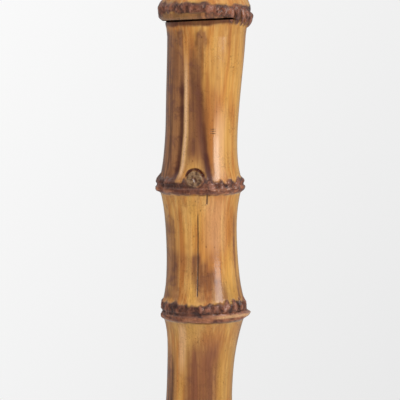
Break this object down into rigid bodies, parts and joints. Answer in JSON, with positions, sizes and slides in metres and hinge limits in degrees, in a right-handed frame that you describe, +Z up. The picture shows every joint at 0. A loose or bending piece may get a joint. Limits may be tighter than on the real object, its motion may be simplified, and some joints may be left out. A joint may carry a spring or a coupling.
{
  "type": "tiki torch",
  "caption": "Garden tiki torch: knobbly flame-toned bamboo pole in two sections, woven split-bamboo head, wick-burner canister with snuffer, ground spike.",
  "frame": {"origin": "on the pole's axis at ground level, at the top of the ground spike's shaft", "axes": "+Z up along the pole towards the burner; +X towards the snuffer's hinge; -Y towards the cut branch's side"},
  "size_m": [0.105, 0.105, 1.5619],
  "materials": {
    "flamed_bamboo": "glossy lacquer over flame-toned bamboo",
    "dowel_wood": "satin",
    "seat_wood": "satin",
    "split_bamboo": "satin lacquer",
    "weft_bamboo": "satin lacquer, stained dark",
    "hoop_bamboo": "satin lacquer",
    "rattan": "satin",
    "spike_paint": "satin black",
    "ferrule_brass": "brushed, slightly tarnished",
    "fastener_steel": "bright",
    "tinplate": "satin tinplate",
    "burner_brass": "turned and lacquered",
    "gasket_rubber": "matte",
    "wick_braid": "braided, charred at its top"
  },
  "bodies": {
    "lower_section": {"lower_pole": "flamed_bamboo", "foot_ferrule": "ferrule_brass", "foot_plug": "dowel_wood", "ferrule_brads": "ferrule_brass", "ground_spike": "spike_paint"},
    "upper_section": {"upper_pole": "flamed_bamboo", "joint_dowel": "dowel_wood", "splint_01": "split_bamboo", "splint_02": "split_bamboo", "splint_03": "split_bamboo", "splint_04": "split_bamboo", "splint_05": "split_bamboo", "splint_06": "split_bamboo", "splint_07": "split_bamboo", "splint_08": "split_bamboo", "splint_09": "split_bamboo", "splint_10": "split_bamboo", "splint_11": "split_bamboo", "splint_12": "split_bamboo", "splint_13": "split_bamboo", "splint_14": "split_bamboo", "splint_15": "split_bamboo", "splint_16": "split_bamboo", "weft_band_1": "weft_bamboo", "weft_band_2": "weft_bamboo", "weft_band_3": "weft_bamboo", "weft_band_4": "weft_bamboo", "weft_band_5": "weft_bamboo", "weft_band_6": "weft_bamboo", "weft_band_7": "weft_bamboo", "weft_band_8": "weft_bamboo", "weft_band_9": "weft_bamboo", "rim_hoop_inner": "hoop_bamboo", "rim_hoop_outer": "hoop_bamboo", "rim_brads": "ferrule_brass", "pole_binding": "rattan", "seat_disc": "seat_wood", "seat_screw": "fastener_steel"},
    "canister": {"canister_base": "tinplate", "canister_wall": "tinplate", "canister_lid": "tinplate", "filler_neck": "tinplate"},
    "burner": {"burner_plate": "burner_brass", "cap_gasket": "gasket_rubber", "wick_tube": "burner_brass", "snuffer_bracket": "fastener_steel", "hinge_pin": "fastener_steel"},
    "collar": {"screw_collar": "burner_brass"},
    "wick": {"wick": "wick_braid"},
    "snuffer": {"snuffer_strap": "fastener_steel", "snuffer_cup": "burner_brass", "snuffer_rivet": "burner_brass"}
  },
  "joints": [
    {"name": "pole_pull", "type": "slide", "parent": "lower_section", "child": "upper_section", "axis": [0, 0, 1], "range_m": [0, 0.06]},
    {"name": "canister_lift", "type": "slide", "parent": "upper_section", "child": "canister", "axis": [0, 0, 1], "range_m": [0, 0.13]},
    {"name": "burner_lift", "type": "slide", "parent": "canister", "child": "burner", "axis": [0, 0, 1], "range_m": [0, 0.0075]},
    {"name": "collar_turn", "type": "hinge", "parent": "burner", "child": "collar", "pos_m": [0, 0, 1.262], "axis": [0, 0, 1], "range_deg": [0, 1080]},
    {"name": "wick_feed", "type": "slide", "parent": "burner", "child": "wick", "axis": [0, 0, 1], "range_m": [-0.005, 0.005]},
    {"name": "snuffer_hinge", "type": "hinge", "parent": "burner", "child": "snuffer", "pos_m": [0.014, 0, 1.29675], "axis": [0, 1, 0], "range_deg": [0, 110]}
  ],
  "couplings": [
    {"joint": "burner_lift", "follows": "collar_turn", "m_per_rad": 0.0003978}
  ]
}
